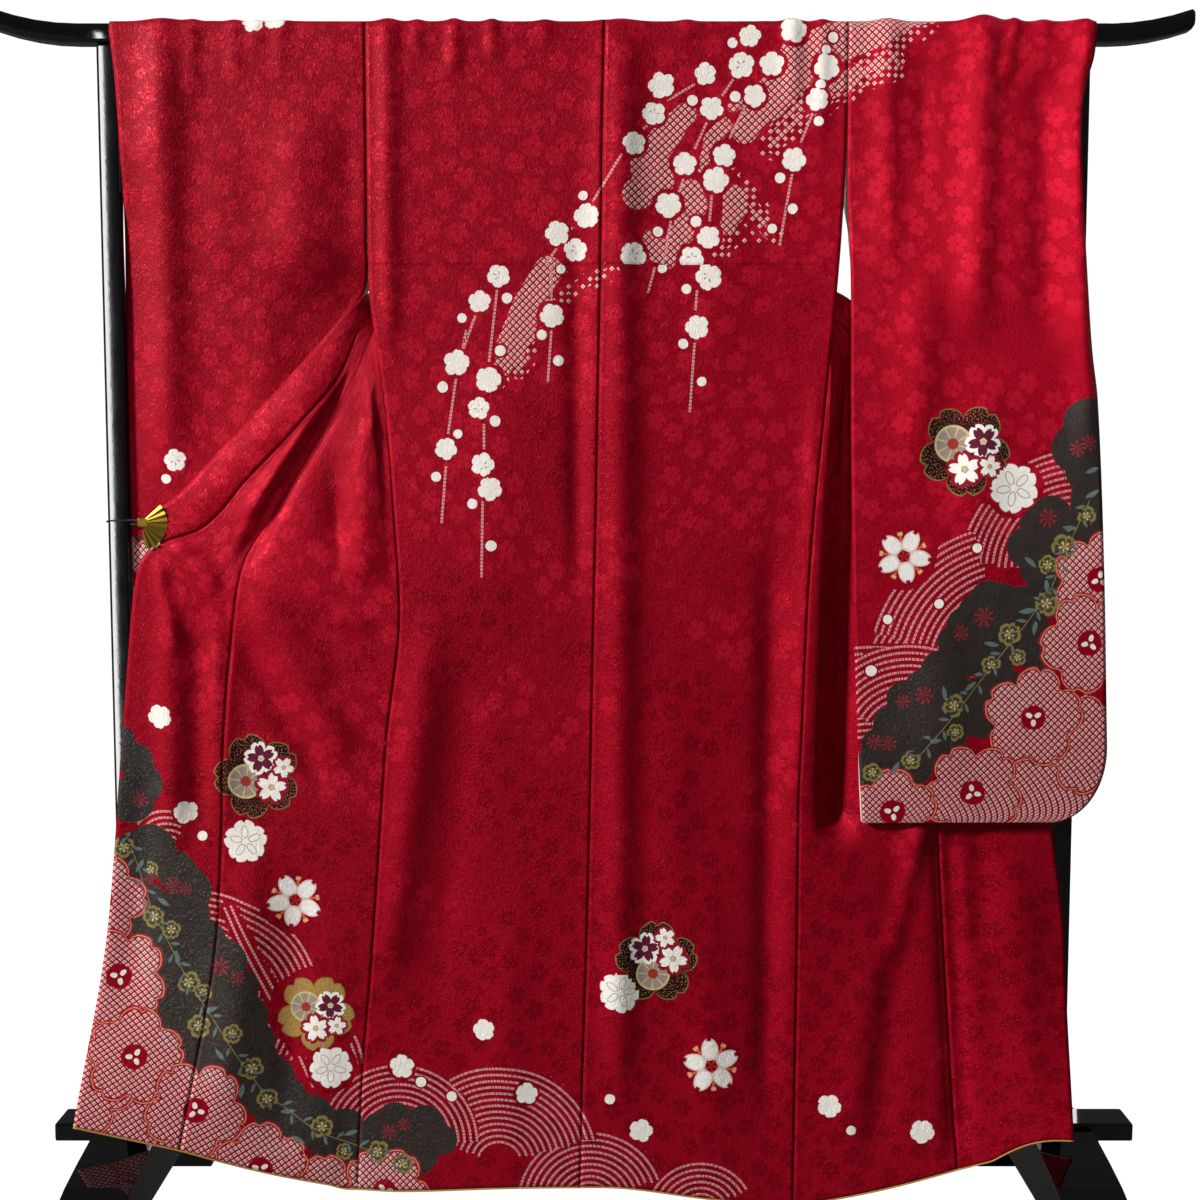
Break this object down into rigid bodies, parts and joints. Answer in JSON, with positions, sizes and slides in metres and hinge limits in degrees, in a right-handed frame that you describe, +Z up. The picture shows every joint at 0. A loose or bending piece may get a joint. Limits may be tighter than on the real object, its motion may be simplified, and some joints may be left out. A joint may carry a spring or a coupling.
{
  "type": "furisode on a kimono rack",
  "caption": "Long-sleeved kimono hung from its back over a black lacquered rack, its fronts folded out to the posts",
  "frame": {"origin": "On the floor under the middle of the rack, midway between the two feet.", "axes": "+Z up. +X along the rack's bar, to the right in the picture. -Y towards the viewer, whom the garment's back faces."},
  "size_m": [1.58, 0.6196, 1.6921],
  "materials": {
    "silk": "figured silk crepe, crimson",
    "lining": "gold silk lining rolled at the hem",
    "lacquer": "black lacquer, glossy",
    "gilt": "gilt, satin",
    "elastic": "black elastic cord"
  },
  "bodies": {
    "root": {"body_left": "silk", "body_right": "silk", "okumi_left": "silk", "okumi_right": "silk", "collar": "silk", "sleeve_left": "silk", "sleeve_right": "silk", "hem_edge_left": "lining", "hem_edge_right": "lining", "bar": "lacquer", "post_left": "lacquer", "post_right": "lacquer", "beam": "lacquer", "foot_left": "lacquer", "foot_right": "lacquer", "clip_left": "gilt", "clip_right": "gilt", "clip_cord_left": "elastic", "clip_cord_right": "elastic"}
  },
  "joints": []
}
